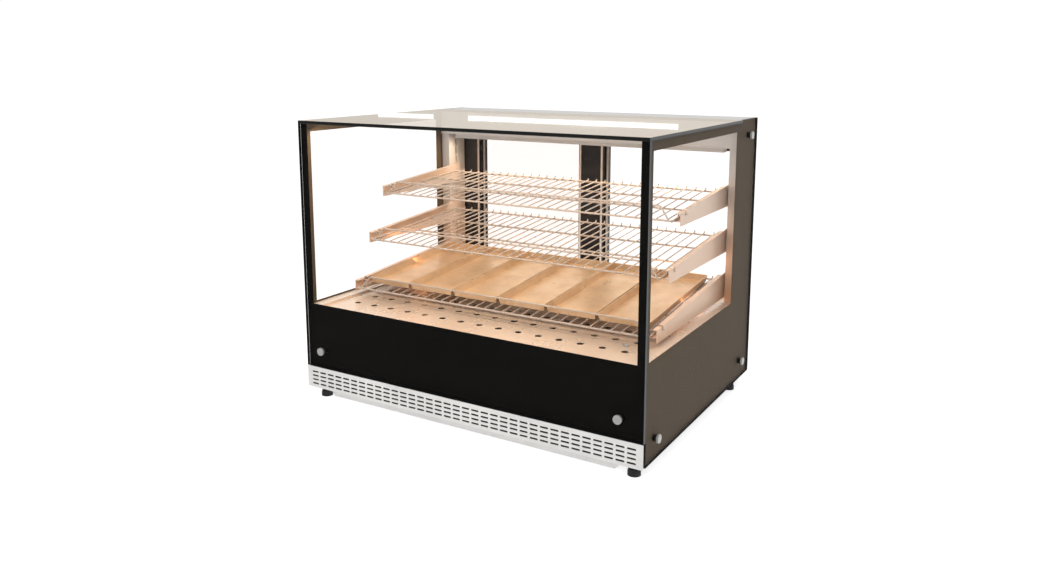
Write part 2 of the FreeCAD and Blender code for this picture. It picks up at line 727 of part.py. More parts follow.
def door_span(name):
    start, lane = DOORS[name]
    slack = (TRACK_GROOVE - DOOR_THICKNESS) / 2
    y0 = FRONT + TRACK_START + TRACK_RIB + slack + lane * (TRACK_RIB + TRACK_GROOVE)
    return (start, start + DOOR_LENGTH), (y0, y0 + DOOR_THICKNESS)


PULL = (26.0, 120.0, 7.0)    # width, height and depth of the recessed pull


def pull_place(name):
    """Corner of the recess in the outer stile, on the staff side."""
    x, y = door_span(name)
    left = x[0] + 22 if name == "left" else x[1] - 22 - PULL[0]
    return left, y[1] - PULL[2], (DOOR_LOW + DOOR_TOP) / 2 - PULL[1] / 2


def door_frame(name):
    """Black frame with wide stiles, a groove for the pane and a recessed finger pull."""
    x, y = door_span(name)
    frame = box(x, y, (DOOR_LOW, DOOR_TOP))
    view = box((x[0] + DOOR_STILE, x[1] - DOOR_STILE), (y[0] - 1, y[1] + 1),
               (DOOR_LOW + DOOR_RAIL, DOOR_TOP - DOOR_TOP_RAIL))
    middle = (y[0] + y[1]) / 2
    groove = box((x[0] + DOOR_STILE - DOOR_GROOVE, x[1] - DOOR_STILE + DOOR_GROOVE),
                 (middle - DOOR_GLASS / 2, middle + DOOR_GLASS / 2),
                 (DOOR_LOW + DOOR_RAIL - DOOR_GROOVE, DOOR_TOP - DOOR_TOP_RAIL + DOOR_GROOVE))
    px, py, pz = pull_place(name)
    pocket = box((px, px + PULL[0]), (py, py + PULL[2] + 1), (pz, pz + PULL[1]))
    return frame.cut(view).cut(groove).cut(pocket)


def door_glass(name):
    x, y = door_span(name)
    middle = (y[0] + y[1]) / 2
    hold = DOOR_GROOVE - 0.5
    return box((x[0] + DOOR_STILE - hold, x[1] - DOOR_STILE + hold),
               (middle - DOOR_GLASS / 2, middle + DOOR_GLASS / 2),
               (DOOR_LOW + DOOR_RAIL - hold, DOOR_TOP - DOOR_TOP_RAIL + hold))


# ---- staff side panel: controller, switches and cord gland ---------------------------------------

CONTROL_X = 250.0
CONTROL_Z = BASE + 150.0
CONTROL_SIZE = (84.0, 42.0)
BUTTON_X = [CONTROL_X + 18, CONTROL_X + 5, CONTROL_X - 8]
SWITCH_X = [CONTROL_X - 75, CONTROL_X - 105]
SWITCH_Z = CONTROL_Z
ROCKER_SIZE = (14.0, 24.0)
GLAND_X = -380.0
GLAND_Z = BASE + 60.0
GLAND_BORE = 4.5
FACE = PANEL + 3.0           # front of the controller's bezel


def rear_panel():
    """Sheet across the back of the base, with louvre slots and cut-outs."""
    low = FLOOR
    top = DECK - 1.5
    level = PANEL - SHEET
    holes = [rectangle("xz", (CONTROL_X - 38, CONTROL_X + 38), (CONTROL_Z - 17, CONTROL_Z + 17), level),
             circle("xz", GLAND_X, GLAND_Z, 8.1, level)]
    for x in SWITCH_X:
        holes.append(rectangle("xz", (x - 9.2, x + 9.2), (SWITCH_Z - 15.2, SWITCH_Z + 15.2), level))
    for x_mid in (-180, 0):
        for row in range(5):
            holes.append(obround("xz", x_mid, BASE + 40 + row * LOUVRE_PITCH, *LOUVRE, level))
    return plate(rectangle("xz", (-WALL_INNER, WALL_INNER), (low, top), level), holes, (0, SHEET, 0))


def controller_body():
    """Thermostat housing with a bezel, a window and three button holes."""
    x = (CONTROL_X - 37.5, CONTROL_X + 37.5)
    z = (CONTROL_Z - 16.5, CONTROL_Z + 16.5)
    case = box(x, (PANEL - 60, PANEL), z)
    bezel = box((CONTROL_X - CONTROL_SIZE[0] / 2, CONTROL_X + CONTROL_SIZE[0] / 2), (PANEL, FACE),
                (CONTROL_Z - CONTROL_SIZE[1] / 2, CONTROL_Z + CONTROL_SIZE[1] / 2))
    space = box((x[0] + 2, x[1] - 2), (PANEL - 58, PANEL + 0.5), (z[0] + 2, z[1] - 2))
    body = fused([case, bezel]).cut(space)
    window = box((CONTROL_X - 32, CONTROL_X + 32), (PANEL, FACE + 1), (CONTROL_Z - 1, CONTROL_Z + 13))
    body = body.cut(window)
    for x_mid in BUTTON_X:
        hole = box((x_mid - 5.4, x_mid + 5.4), (PANEL, FACE + 1), (CONTROL_Z - 13.4, CONTROL_Z - 4.6))
        body = body.cut(hole)
    return body


def controller_lens():
    """Dark window over the temperature digits."""
    return box((CONTROL_X - 31.9, CONTROL_X + 31.9), (PANEL + 0.6, FACE - 0.3),
               (CONTROL_Z - 0.9, CONTROL_Z + 12.9))


def button(x_mid):
    """Push button with a flange that keeps it behind the bezel."""
    cap = box((x_mid - 5, x_mid + 5), (PANEL - 1, FACE + 1.6), (CONTROL_Z - 13, CONTROL_Z - 5))
    front = [edge for edge in cap.Edges if edge.BoundBox.YMin > FACE + 1.5]
    cap = cap.makeFillet(0.6, front)
    flange = box((x_mid - 5.9, x_mid + 5.9), (PANEL - 1, PANEL + 0.2), (CONTROL_Z - 13.8, CONTROL_Z - 4.2))
    return fused([cap, flange])


ROCKER_AXIS_Y = PANEL - 4.0


def switch_housings():
    """Two rocker switch bodies with a bezel and a bore for the rocker's pivots."""
    bodies = []
    for x in SWITCH_X:
        case = box((x - 9, x + 9), (PANEL - 26, PANEL), (SWITCH_Z - 15, SWITCH_Z + 15))
        bezel = box((x - 11, x + 11), (PANEL, PANEL + 2), (SWITCH_Z - 17, SWITCH_Z + 17))
        space = box((x - 7.4, x + 7.4), (PANEL - 16, PANEL + 3), (SWITCH_Z - 13.6, SWITCH_Z + 13.6))
        bore = disc(1.55, (x - 8.4, ROCKER_AXIS_Y, SWITCH_Z), (1, 0, 0), 16.8)
        bodies.append(fused([case, bezel]).cut(space).cut(bore))
    return group(bodies)


def rocker(x):
    """Rocker with two pressed faces, tipped to its off side."""
    low, high = -ROCKER_SIZE[1] / 2, ROCKER_SIZE[1] / 2
    points = [(-6.0, low + 2), (7.5, low), (6.2, 0), (7.5, high), (-6.0, high - 2)]
    corners = [(ROCKER_AXIS_Y + y, SWITCH_Z + z) for y, z in points]
    body = prism("yz", corners, x - ROCKER_SIZE[0] / 2, (ROCKER_SIZE[0], 0, 0))
    pivot = disc(1.5, (x - 8.2, ROCKER_AXIS_Y, SWITCH_Z), (1, 0, 0), 16.4)
    solid = fused([body, pivot])
    solid.rotate(Vector(x, ROCKER_AXIS_Y, SWITCH_Z), Vector(1, 0, 0), -7)
    return solid


def cord_gland():
    """Cable gland: threaded body through the panel, hexagon and clamping dome."""
    corners = [(GLAND_X + 11 * math.cos(math.radians(a)), GLAND_Z + 11 * math.sin(math.radians(a)))
               for a in range(0, 360, 60)]
    body = disc(8.0, (GLAND_X, PANEL - 14, GLAND_Z), (0, 1, 0), 15)
    nut = prism("xz", corners, PANEL - 7, (0, 5, 0))
    hexagon = prism("xz", corners, PANEL, (0, 6, 0))
    dome = Part.makeCone(9.2, 7, 6, Vector(GLAND_X, PANEL + 6, GLAND_Z), Vector(0, 1, 0))
    solid = fused([body, nut, hexagon, dome])
    return solid.cut(disc(GLAND_BORE, (GLAND_X, PANEL - 15, GLAND_Z), (0, 1, 0), 40))


# ---- every node --------------------------------------------------------------------------------

def nodes():
    made = {
        "chassis": chassis(),
        "vent_grille": vent_grille(),
        "lower_lip": lower_lip(),
        "deck": deck(),
        "air_box": air_box(),
        "insulation": insulation(),
        "heater_elements": heater_elements(),
        "fan_motor": fan_motor(),
        "fan_impeller": fan_impeller(),
        "fan_guard": fan_guard(),
        "front_glass": front_glass(),
        "front_print": front_print(),
        "right_glass": side_glass(),
        "left_glass": mirrored(side_glass()),
        "right_print": side_print(),
        "left_print": mirrored(side_print()),
        "top_glass": top_glass(),
        "glass_joints": glass_joints(),
        "stud_caps": stud_caps(),
        "stud_collars": stud_collars(),
        "right_post": post(),
        "left_post": mirrored(post()),
        "rear_header": rear_header(),
        "upper_track": track(HEADER - TRACK_DEPTH, TRACK_DEPTH, False),
        "lower_track": track(DECK, TRACK_DEPTH, True),
        "led_housing": led_housing(),
        "led_lens": led_lens(),
        "rear_panel": rear_panel(),
        "controller_body": controller_body(),
        "controller_lens": controller_lens(),
        "switch_housings": switch_housings(),
        "cord_gland": cord_gland(),
    }
    for name in SHELVES:
        arm = shelf_arm(name)
        made[f"{name}_arm_right"] = arm
        made[f"{name}_arm_left"] = mirrored(arm)
        made[f"{name}_shelf"] = wire_shelf(name)
    for number in range(1, TRAY_COUNT + 1):
        made[f"tray_{number}"] = tray(number)
    for name in DOORS:
        made[f"door_{name}_frame"] = door_frame(name)
        made[f"door_{name}_glass"] = door_glass(name)
    for name, (x, y) in FOOT_PLACES.items():
        made[f"foot_{name}"] = foot(x, y)
    for name, x in zip(("set", "up", "down"), BUTTON_X):
        made[f"button_{name}"] = button(x)
    for name, x in zip(("power", "light"), SWITCH_X):
        made[f"rocker_{name}"] = rocker(x)
    return made


def main():
    os.makedirs("parts", exist_ok=True)
    for name, shape in nodes().items():
        shape.exportStep(f"parts/{name}.step")


main()
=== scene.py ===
import json
import math
import random

import bmesh
import bpy
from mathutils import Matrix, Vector


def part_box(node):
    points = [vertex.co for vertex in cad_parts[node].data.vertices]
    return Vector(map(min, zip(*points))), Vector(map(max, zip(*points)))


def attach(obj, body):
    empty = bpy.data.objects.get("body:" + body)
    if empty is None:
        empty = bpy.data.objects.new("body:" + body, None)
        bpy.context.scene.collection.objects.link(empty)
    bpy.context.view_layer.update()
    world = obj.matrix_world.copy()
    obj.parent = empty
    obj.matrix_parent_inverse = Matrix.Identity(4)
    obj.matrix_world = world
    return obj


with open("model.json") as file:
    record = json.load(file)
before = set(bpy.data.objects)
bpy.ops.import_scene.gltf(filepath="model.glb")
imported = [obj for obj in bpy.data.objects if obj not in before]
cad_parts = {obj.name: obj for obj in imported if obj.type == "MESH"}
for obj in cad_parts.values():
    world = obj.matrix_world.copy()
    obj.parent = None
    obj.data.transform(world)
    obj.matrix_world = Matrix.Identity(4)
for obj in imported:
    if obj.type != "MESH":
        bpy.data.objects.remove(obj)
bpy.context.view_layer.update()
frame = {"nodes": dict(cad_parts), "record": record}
nodes = frame["nodes"]
scene = bpy.context.scene
scene.view_settings.view_transform = "Standard"

MM = 0.001
FOCAL_LENGTH = 883.0 / 1056  # of the camera, in sensor widths
SENSOR = 36.0
PRINT_GAP = 0.06 * MM
STILE = 74 * MM              # width of the staff-side door stiles
BEAD = (6 * MM, 0.7 * MM)    # width and height of the bright door strips
BEAD_INSET = 4 * MM
RIM = 1.5 * MM
TRAY_FRONT_HEIGHT = 14.7 * MM
DECK_TOP = 230 * MM
RING_PLACE = (0.349, 0.129)  # of the deck ring: x, and distance behind the front glass
RING = (6.5 * MM, 1.3 * MM)  # radii of the ring and of its wire
SCREW_INSET = (14 * MM, 12 * MM)
SCREW_X = 0.12
GRIP_TEETH = 96


# ---- camera and materials ------------------------------------------------------------------

def make_camera():
    data = bpy.data.cameras.new("camera")
    cam = bpy.data.objects.new("camera", data)
    scene.collection.objects.link(cam)
    data.sensor_width = SENSOR
    data.lens = FOCAL_LENGTH * SENSOR
    data.shift_y = -0.08
    data.clip_end = 60.0
    cam.location = (1.0971, -1.8489, 0.8290)
    cam.rotation_euler = (math.radians(90 - 9.31), 0.0, math.radians(31.05))
    scene.camera = cam


def mesh_object(name, build):
    """A mesh object made by a function that fills a bmesh."""
    bm = bmesh.new()
    build(bm)
    data = bpy.data.meshes.new(name)
    bm.to_mesh(data)
    bm.free()
    obj = bpy.data.objects.new(name, data)
    scene.collection.objects.link(obj)
    return obj


class Graph:
    """A material under construction, with short calls for the nodes used here."""

    def __init__(self, name):
        self.mat = bpy.data.materials.new(name)
        self.mat.use_nodes = True
        self.tree = self.mat.node_tree
        self.tree.nodes.clear()
        self.output = self.tree.nodes.new("ShaderNodeOutputMaterial")
        self.coords = self.tree.nodes.new("ShaderNodeTexCoord")

    def join(self, source, socket):
        if isinstance(source, bpy.types.NodeSocket):
            self.tree.links.new(source, socket)
        else:
            socket.default_value = source

    def node(self, kind, **inputs):
        made = self.tree.nodes.new(kind)
        for key, value in inputs.items():
            self.join(value, made.inputs[key.replace("_", " ")])
        return made

    def mapped(self, scale):
        made = self.node("ShaderNodeMapping", Vector=self.coords.outputs["Object"])
        made.inputs["Scale"].default_value = scale
        return made.outputs["Vector"]

    def noise(self, scale, detail=4.0, rough=0.55, stretch=(1, 1, 1)):
        made = self.node("ShaderNodeTexNoise", Vector=self.mapped(stretch))
        made.inputs["Scale"].default_value = scale
        made.inputs["Detail"].default_value = detail
        made.inputs["Roughness"].default_value = rough
        return made.outputs["Fac"]

    def ramp(self, value, stops):
        made = self.node("ShaderNodeValToRGB", Fac=value)
        elements = made.color_ramp.elements
        while len(elements) < len(stops):
            elements.new(0.5)
        for element, (place, colour) in zip(elements, stops):
            element.position = place
            element.color = (*colour, 1.0) if len(colour) == 3 else colour
        return made.outputs["Color"]

    def span(self, value, low, high, start=0.0, end=1.0):
        """Carries a value from start..end to low..high, clamped."""
        made = self.node("ShaderNodeMapRange", Value=value)
        for key, number in (("From Min", start), ("From Max", end), ("To Min", low), ("To Max", high)):
            made.inputs[key].default_value = number
        return made.outputs["Result"]

    def math(self, operation, a, b=0.0, clamp=False):
        made = self.tree.nodes.new("ShaderNodeMath")
        made.operation = operation
        made.use_clamp = clamp
        self.join(a, made.inputs[0])
        self.join(b, made.inputs[1])
        return made.outputs[0]

    def blend(self, factor, a, b):
        made = self.tree.nodes.new("ShaderNodeMix")
        made.data_type = "RGBA"
        self.join(factor, made.inputs["Factor"])
        for source, socket in ((a, made.inputs[6]), (b, made.inputs[7])):
            self.join((*source, 1.0) if isinstance(source, tuple) else source, socket)
        return made.outputs[2]

    def bump(self, height, distance, strength=0.5):
        made = self.node("ShaderNodeBump", Height=height)
        made.inputs["Strength"].default_value = strength
        made.inputs["Distance"].default_value = distance
        return made.outputs["Normal"]

    def split(self, vector):
        return self.node("ShaderNodeSeparateXYZ", Vector=vector).outputs

    def shader(self, colour, rough, normal=None, metal=0.0, **fixed):
        made = self.tree.nodes.new("ShaderNodeBsdfPrincipled")
        self.join((*colour, 1.0) if isinstance(colour, tuple) else colour, made.inputs["Base Color"])
        self.join(rough, made.inputs["Roughness"])
        self.join(metal, made.inputs["Metallic"])
        if normal is not None:
            self.join(normal, made.inputs["Normal"])
        for key, value in fixed.items():
            made.inputs[key.replace("_", " ")].default_value = value
        return made

    def finish(self, shader):
        self.tree.links.new(shader.outputs[0], self.output.inputs["Surface"])
        return self.mat


def rgb(r, g, b):
    """Linear colour from a display colour."""
    return tuple((c / 12.92 if c <= 0.04045 else ((c + 0.055) / 1.055) ** 2.4) for c in (r, g, b))


def brushed(name, colour, rough, metal, vary=0.10, handled=0.12):
    """Sheet metal with a fine grain from side to side, faint stains and a few handling marks."""
    g = Graph(name)
    grain = g.noise(1.0, 3.0, 0.7, (3, 900, 900))
    stains = g.noise(9.0, 5.0, 0.6)
    cloud = g.blend(g.span(stains, 0.0, 1.0, 0.3, 0.75),
                    tuple(c * (1 - vary) for c in colour), colour)
    tone = g.blend(g.span(grain, 0.0, 0.22, 0.35, 0.7), cloud, tuple(c * 0.72 for c in colour))
    marks = g.noise(60.0, 6.0, 0.7, (1.0, 0.35, 1.0))
    base = g.span(stains, rough - 0.05, rough + 0.09, 0.3, 0.7)
    gloss = g.math("ADD", base, g.span(marks, 0.0, handled, 0.55, 0.8))
    return g.finish(g.shader(tone, gloss, g.bump(grain, 0.00002, 0.35), metal))


def warm_glow_steel(name, colour, warm, low, high):
    """Brushed post steel with a painted warm glow, standing in for the warm lamp light, that grows towards
    the heated deck.
    """
    g = Graph(name)
    grain = g.noise(1.0, 3.0, 0.7, (900, 900, 3))
    cloud = g.noise(8.0, 4.0, 0.6)
    height = g.split(g.coords.outputs["Object"])[2]
    # Painted warm light: full at the low height, gone at the high one, broken up by the cloud.
    heat_and_glow = g.span(height, 1.0, 0.0, low, high)
    heat_and_glow = g.math("MULTIPLY", heat_and_glow, g.span(cloud, 0.75, 1.0), True)
    tone = g.blend(heat_and_glow, colour, warm)
    tone = g.blend(g.span(grain, 0.0, 0.2, 0.35, 0.7), tone, (0.35, 0.30, 0.26))
    gloss = g.span(cloud, 0.30, 0.42, 0.3, 0.7)
    return g.finish(g.shader(tone, gloss, g.bump(grain, 0.00002, 0.35), 0.4))


def moulded(name, colour, rough, grain=900.0, depth=0.00006, spec=0.4, dust=0.05):
    """Moulded plastic or rubber: fine texture, uneven gloss and a trace of dust."""
    g = Graph(name)
    fine = g.noise(grain, 3.0, 0.6)
    wide = g.noise(14.0, 4.0, 0.6)
    dusty = tuple(c + dust * (0.55 - c) for c in colour)
    tone = g.blend(g.span(wide, 0.0, 1.0, 0.35, 0.8), colour, dusty)
    gloss = g.span(wide, rough - 0.07, rough + 0.1, 0.3, 0.7)
    return g.finish(g.shader(tone, gloss, g.bump(fine, depth, 0.4), Specular_IOR_Level=spec))


CLEAR = (0.997, 0.988, 0.983, 1.0)    # what the panes let through, with a faint warm tint that is painted warm interior light


def pane(name, edge_axis, reflect, mirror=(1.0, 1.0, 1.0), ground_tones=(0.30, 0.42), power=5.0,
         gain=0.92):
    """Thin-pane glass: clear, mirror-like at a flat angle, with a ground edge all round."""
    g = Graph(name)
    facing = g.node("ShaderNodeLayerWeight").outputs["Facing"]
    g.tree.nodes[-1].inputs["Blend"].default_value = 0.5
    slope = g.math("POWER", facing, power)
    gloss = g.math("ADD", g.math("MULTIPLY", slope, gain), reflect, True)
    front = g.math("SUBTRACT", 1.0, g.node("ShaderNodeNewGeometry").outputs["Backfacing"])
    gloss = g.math("MULTIPLY", gloss, front)
    normal = g.split(g.coords.outputs["Normal"])[{"x": 0, "y": 1, "z": 2}[edge_axis]]
    edge = g.math("LESS_THAN", g.math("ABSOLUTE", normal), 0.6)
    smear = g.noise(5.0, 6.0, 0.65, (1.0, 1.0, 2.2))
    specks = g.noise(420.0, 2.0, 0.5)
    rough = g.span(smear, 0.012, 0.05, 0.35, 0.75)
    rough = g.math("ADD", rough, g.math("MULTIPLY", edge, 0.3))
    tones = [rgb(tone * 0.95, tone, tone * 0.94) for tone in ground_tones]
    ground = g.blend(g.span(specks, 0.0, 1.0, 0.3, 0.7), tones[0], tones[1])
    # Edge faces met from inside the glass are painted near-black, a painted shade for the dark internal
    # reflection.
    ground = g.blend(front, (0.004, 0.004, 0.004), ground)
    colour = g.blend(edge, mirror, ground)
    metal = g.math("SUBTRACT", 1.0, edge)
    solid = g.shader(colour, rough, None, metal)
    clear = g.tree.nodes.new("ShaderNodeBsdfTransparent")
    clear.inputs["Color"].default_value = CLEAR
    film = g.span(smear, 0.0, gain * 0.006, 0.5, 0.8)
    cover = g.math("MAXIMUM", g.math("ADD", gloss, film, True), edge)
    mix = g.tree.nodes.new("ShaderNodeMixShader")
    g.join(cover, mix.inputs[0])
    g.tree.links.new(clear.outputs[0], mix.inputs[1])
    g.tree.links.new(solid.outputs[0], mix.inputs[2])
    return g.finish(mix)


def printed(name, colour):
    """Enamel fired on the back of the glass, with slight mottling."""
    g = Graph(name)
    mottle = g.noise(30.0, 5.0, 0.6)
    tone = g.blend(g.span(mottle, 0.0, 1.0, 0.3, 0.75), tuple(c * 0.88 for c in colour), colour)
    return g.finish(g.shader(tone, g.span(mottle, 0.55, 0.7), Specular_IOR_Level=0.06))


def wire_metal(name, colour, rough):
    """Polished shelf wire with fine drawn lines and slightly browned patches."""
    g = Graph(name)
    patch = g.noise(38.0, 4.0, 0.6)
    fine = g.noise(700.0, 3.0, 0.6)
    browned = (colour[0] * 0.86, colour[1] * 0.78, colour[2] * 0.68)
    tone = g.blend(g.span(patch, 0.0, 1.0, 0.45, 0.85), colour, browned)
    gloss = g.math("ADD", g.span(patch, rough - 0.04, rough + 0.08, 0.3, 0.7), g.span(fine, 0.0, 0.08))
    return g.finish(g.shader(tone, gloss, g.bump(fine, 0.00001, 0.3), 0.55))


def tray_metal(name):
    """Pressed sheet with a baked-on bloom that gathers in patches."""
    g = Graph(name)
    bloom = g.noise(16.0, 6.0, 0.62)
    spots = g.noise(95.0, 4.0, 0.6)
    # The clean tone is tinted golden as painted warm lamp light on light metal; the bloom and spots are
    # stains.
    clean = (0.78, 0.58, 0.38)
    tone = g.blend(g.span(bloom, 0.0, 0.6, 0.42, 0.72), clean, (0.55, 0.36, 0.19))
    tone = g.blend(g.span(spots, 0.0, 0.55, 0.6, 0.78), tone, (0.36, 0.21, 0.10))
    gloss = g.span(bloom, 0.27, 0.42, 0.3, 0.75)
    return g.finish(g.shader(tone, gloss, g.bump(bloom, 0.0006, 0.4), 0.55))


def led_strip(name):
    """Frosted diffuser lit from behind by a row of chips."""
    g = Graph(name)
    x = g.split(g.coords.outputs["Object"])[0]
    wave = g.math("SINE", g.math("MULTIPLY", x, math.tau / 0.0125))
    frost = g.noise(500.0, 3.0, 0.6)
    pulse = g.math("ADD", g.span(wave, 0.0, 1.0, -1.0, 1.0), g.span(frost, -0.1, 0.1))
    lit = g.shader(g.blend(pulse, (0.92, 0.84, 0.72), (1.0, 0.95, 0.86)), g.span(frost, 0.3, 0.45))
    g.join(g.blend(pulse, rgb(1.0, 0.86, 0.66), rgb(1.0, 0.94, 0.82)), lit.inputs["Emission Color"])
    lit.inputs["Emission Strength"].default_value = 5.0
    return g.finish(lit)


def fibrous(name, colour):
    """Matt wool with coarse fibres."""
    g = Graph(name)
    fibre = g.noise(260.0, 6.0, 0.75, (1.0, 0.25, 1.0))
    tone = g.blend(g.span(fibre, 0.0, 1.0, 0.3, 0.7), tuple(c * 0.55 for c in colour), colour)
    rough = g.span(fibre, 0.85, 1.0)
    return g.finish(g.shader(tone, rough, g.bump(fibre, 0.001, 0.8), Specular_IOR_Level=0.1))


def oxidised(name, colour):
    """Heated tube with browned and darkened patches."""
    g = Graph(name)
    heat_and_glow = g.noise(22.0, 5.0, 0.6)
    tone = g.ramp(heat_and_glow, [(0.3, tuple(c * 0.5 for c in colour)), (0.55, colour), (0.8, (0.34, 0.20, 0.12))])
    return g.finish(g.shader(tone, g.span(heat_and_glow, 0.45, 0.75), g.bump(heat_and_glow, 0.0002, 0.4), 0.6))


def painted(name, colour, rough):
    """Powder coat: fine orange peel and slightly uneven gloss."""
    g = Graph(name)
    peel = g.noise(520.0, 2.0, 0.5)
    wide = g.noise(7.0, 4.0, 0.6)
    tone = g.blend(g.span(wide, 0.0, 1.0, 0.3, 0.75), colour, tuple(c * 1.25 + 0.004 for c in colour))
    return g.finish(g.shader(tone, g.span(wide, rough - 0.06, rough + 0.08), g.bump(peel, 0.0002, 0.35)))


def turned(name, colour, rough):
    """Turned steel with a fine satin grain."""
    g = Graph(name)
    fine = g.noise(1500.0, 2.0, 0.5)
    wide = g.noise(60.0, 4.0, 0.6)
    tone = g.blend(g.span(wide, 0.0, 1.0, 0.3, 0.75), tuple(c * 0.8 for c in colour), colour)
    gloss = g.math("ADD", g.span(wide, rough - 0.05, rough + 0.08), g.span(fine, 0.0, 0.06))
    return g.finish(g.shader(tone, gloss, g.bump(fine, 0.00002, 0.3), 0.45))


FINISHES = {
    "stainless": brushed("stainless", (0.90, 0.89, 0.87), 0.36, 0.35),
    # The deck steel's peach colour is painted warm lamp light on plain steel.
    "deck": brushed("deck_steel", (0.90, 0.76, 0.63), 0.27, 0.45, vary=0.05, handled=0.02),
    "posts": warm_glow_steel("post_steel", (0.66, 0.64, 0.62), (0.86, 0.52, 0.30), 0.24, 0.56),
    # The arm steel's base colour is also tinted warm: painted warm lamp light on plain steel.
    "arms": warm_glow_steel("arm_steel", (0.74, 0.62, 0.53), (0.86, 0.60, 0.42), 0.20, 0.60),
    "wire_steel": wire_metal("wire_steel", (0.60, 0.53, 0.47), 0.26),
    "chassis_steel": painted("chassis_steel", (0.016, 0.016, 0.017), 0.42),
    "header_metal": brushed("header_metal", (0.74, 0.73, 0.72), 0.36, 0.5),
    "black_print": printed("front_enamel", (0.0035, 0.0034, 0.003)),
    "side_print": printed("side_enamel", (0.093, 0.073, 0.052)),
    "silicone": moulded("silicone", (0.010, 0.010, 0.010), 0.45, spec=0.3),
    "cap_steel": turned("cap_steel", (0.55, 0.54, 0.52), 0.3),
    "collar_plastic": moulded("collar_plastic", (0.012, 0.012, 0.012), 0.5),
    "track_plastic": moulded("track_plastic", (0.018, 0.018, 0.019), 0.42),
    "door_black": painted("door_black", (0.012, 0.012, 0.014), 0.25),
    "led_aluminium": brushed("led_aluminium", (0.80, 0.79, 0.78), 0.35, 0.6),
    "led_diffuser": led_strip("led_diffuser"),
    "tray_metal": tray_metal("tray_metal"),
    "foot_rubber": moulded("foot_rubber", (0.012, 0.012, 0.012), 0.6, 500.0, 0.0002),
    "heater_sheath": oxidised("heater_sheath", (0.16, 0.13, 0.12)),
    "mineral_wool": fibrous("mineral_wool", (0.62, 0.56, 0.38)),
    "motor_metal": painted("motor_metal", (0.16, 0.16, 0.17), 0.4),
    "impeller_metal": brushed("impeller_metal", (0.72, 0.72, 0.73), 0.35, 0.7),
    "control_plastic": moulded("control_plastic", (0.016, 0.016, 0.017), 0.5),
    "display_lens": moulded("display_lens", (0.030, 0.004, 0.004), 0.16, 2000.0, 0.00001, 0.5, 0.01),
    "button_plastic": moulded("button_plastic", (0.20, 0.20, 0.21), 0.48),
    "rocker_plastic": moulded("rocker_plastic", (0.02, 0.02, 0.02), 0.28),
}
PANES = {
    "front_glass": pane("front_pane", "y", 0.02, ground_tones=(0.10, 0.16)),
    "left_glass": pane("side_pane", "x", 0.0, ground_tones=(0.10, 0.16), gain=0.05),
    # The top pane's beige mirror colour is a painted warm reflection of the studio.
    "top_glass": pane("top_pane", "z", 0.05, (0.86, 0.81, 0.75), (0.05, 0.09), 2.2),
    "door_left_glass": pane("door_pane", "y", 0.02),
}
PANES["right_glass"] = PANES["left_glass"]
PANES["door_right_glass"] = PANES["door_left_glass"]


def dress(obj, material):
    obj.data.materials.clear()
    obj.data.materials.append(material)


def set_back(obj, gap):
    """Draws a layer in from the surface it lies on, so that the two don't share a plane."""
    shrink = obj.modifiers.new("set_back", "DISPLACE")
    shrink.strength = -gap
    shrink.mid_level = 0.0


for print_name in ("front_print", "left_print", "right_print"):
    set_back(nodes[print_name], PRINT_GAP)

slots = {part["node"]: part["material_slot"] for part in frame["record"]["subparts"]}
SPECIAL = {"deck": "deck", "left_print": "side_print", "right_print": "side_print",
           "left_post": "posts", "right_post": "posts"}
for name, obj in nodes.items():
    key = SPECIAL.get(name, slots[name])
    if "_arm_" in name:
        key = "arms"
    dress(obj, PANES[name] if name in PANES else FINISHES[key])


# ---- added detail ---------------------------------------------------------------------------

def finish_piece(obj, material, body, smooth=True):
    for face in obj.data.polygons:
        face.use_smooth = smooth
    dress(obj, material)
    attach(obj, body)


def lathe(bm, centre, normal, profile, steps=28):
    """Turns (radius, height) pairs about a normal; a radius of 0 closes the end."""
    up = Vector(normal).normalized()
    side = up.orthogonal().normalized()
    other = up.cross(side)
    rings = []
    for radius, height in profile:
        base = Vector(centre) + up * height
        if radius == 0:
            rings.append([bm.verts.new(base)])
        else:
            rings.append([bm.verts.new(base + (side * math.cos(a) + other * math.sin(a)) * radius)
                          for a in (math.tau * k / steps for k in range(steps))])
    for low, high in zip(rings, rings[1:]):
        for k in range(steps):
            n = (k + 1) % steps
            if len(high) == 1:
                bm.faces.new((low[k], low[n], high[0]))
            elif len(low) == 1:
                bm.faces.new((low[0], high[n], high[k]))
            else:
                bm.faces.new((low[k], low[n], high[n], high[k]))


def bead(bm, start, end, width, proud, out, along):
    """A half-round strip from start to end that stands proud of a face."""
    start, end, out, along = (Vector(v) for v in (start, end, out, along))
    ends = []
    for point in (start, end):
        ends.append([bm.verts.new(point + along * (math.cos(a) * width / 2)
                                  + out * (math.sin(a) * proud))
                     for a in (math.pi * k / 8 for k in range(9))])
    for k in range(8):
        bm.faces.new((ends[0][k], ends[0][k + 1], ends[1][k + 1], ends[1][k]))
    bm.faces.new((ends[0][0], ends[1][0], ends[1][8], ends[0][8]))
    bm.faces.new(ends[0])
    bm.faces.new(ends[1][::-1])


def tube_loop(bm, points, radius, steps=8):
    """A round wire that follows a nearly level loop of points."""
    count = len(points)
    rings = []
    for k, point in enumerate(points):
        forward = (points[(k + 1) % count] - points[k - 1]).normalized()
        side = forward.cross(Vector((0, 0, 1))).normalized()
        other = forward.cross(side)
        rings.append([bm.verts.new(point + (side * math.cos(a) + other * math.sin(a)) * radius)
                      for a in (math.tau * j / steps for j in range(steps))])
    for k in range(count):
        low, high = rings[k], rings[(k + 1) % count]
        for j in range(steps):
            n = (j + 1) % steps
            bm.faces.new((low[j], low[n], high[n], high[j]))


